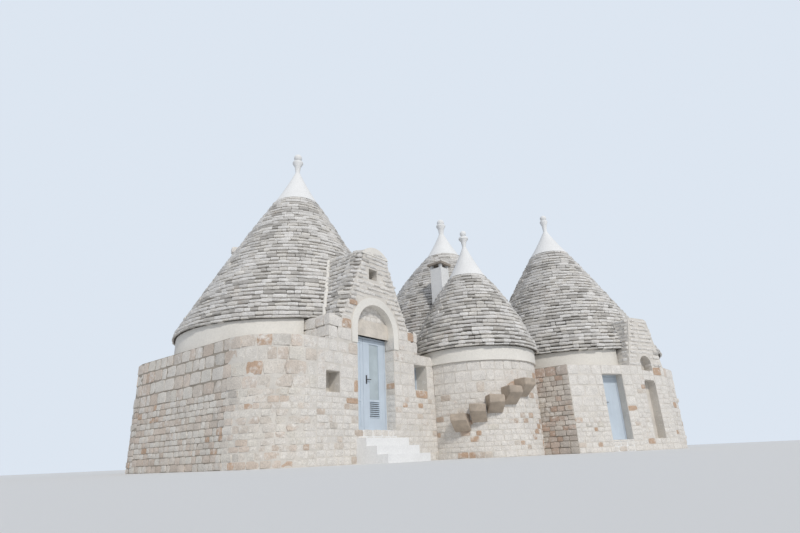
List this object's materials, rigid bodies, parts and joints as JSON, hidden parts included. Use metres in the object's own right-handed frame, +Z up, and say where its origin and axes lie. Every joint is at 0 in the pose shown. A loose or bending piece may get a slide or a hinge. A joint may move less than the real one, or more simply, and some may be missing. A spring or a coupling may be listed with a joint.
{
  "type": "trullo house",
  "caption": "dry-stone house with clustered conical stone roofs on thick limestone walls, an arched dormer over a louvred double door, and a flying stair on a round annex",
  "frame": {"origin": "on the ground, on the axis of the main cone", "axes": "+Z up, +X along the main front towards the small and right houses, -Y towards the main front"},
  "size_m": [14.66, 10.85, 9.72],
  "materials": {
    "limestone": "rough cream limestone rubble",
    "roof_stone": "weathered pale grey limestone slabs",
    "lime_plaster": "matt whitewashed lime plaster",
    "blue_paint": "pale blue oil paint on wood",
    "door_glass": "clear window glass",
    "dark_iron": "dark painted iron",
    "floor_stone": "worn limestone paving"
  },
  "bodies": {
    "house": {"back_drum_band": "limestone", "back_left_wall": "limestone", "back_pinnacle": "lime_plaster", "back_rear_wall": "limestone", "back_right_wall": "limestone", "back_roof": "roof_stone", "chimney_lid": "lime_plaster", "chimney_shaft": "lime_plaster", "door_arch": "limestone", "door_lintel": "limestone", "dormer_body": "limestone", "dormer_front": "limestone", "flying_stair": "limestone", "main_back_wall": "limestone", "main_door_frame": "blue_paint", "main_door_steps": "floor_stone", "main_drum_band": "limestone", "main_floor": "floor_stone", "main_front_left_wall": "limestone", "main_front_right_wall": "limestone", "main_left_wall": "limestone", "main_pinnacle": "lime_plaster", "main_right_wall": "limestone", "main_roof": "roof_stone", "main_threshold": "floor_stone", "right_back_wall": "limestone", "right_door_frame": "blue_paint", "right_door_head": "limestone", "right_door_wall": "limestone", "right_dormer": "limestone", "right_drum_band": "limestone", "right_floor": "floor_stone", "right_left_wall": "limestone", "right_pinnacle": "lime_plaster", "right_porch_wall": "limestone", "right_roof": "roof_stone", "right_side_wall": "limestone", "right_threshold": "floor_stone", "side_window_casement": "blue_paint", "side_window_glass": "door_glass", "small_drum_back": "limestone", "small_drum_band": "limestone", "small_drum_front": "limestone", "small_drum_right": "limestone", "small_pinnacle": "lime_plaster", "small_roof": "roof_stone"},
    "wide_leaf": {"main_door_leaf": "blue_paint", "main_door_glass": "door_glass", "main_door_handle": "dark_iron"},
    "narrow_leaf": {"narrow_door_leaf": "blue_paint"},
    "right_leaf": {"right_door_leaf": "blue_paint", "right_door_handle": "dark_iron"}
  },
  "joints": [
    {"name": "wide_leaf_hinge", "type": "hinge", "parent": "house", "child": "wide_leaf", "pos_m": [0.451, -2.995, 0.7], "axis": [0, 0, 1], "range_deg": [-90, 0]},
    {"name": "narrow_leaf_hinge", "type": "hinge", "parent": "house", "child": "narrow_leaf", "pos_m": [-0.731, -2.995, 0.7], "axis": [0, 0, 1], "range_deg": [0, 90]},
    {"name": "right_leaf_hinge", "type": "hinge", "parent": "house", "child": "right_leaf", "pos_m": [6.2393, -6.7208, 0.3], "axis": [0, 0, 1], "range_deg": [-90, 0]}
  ]
}
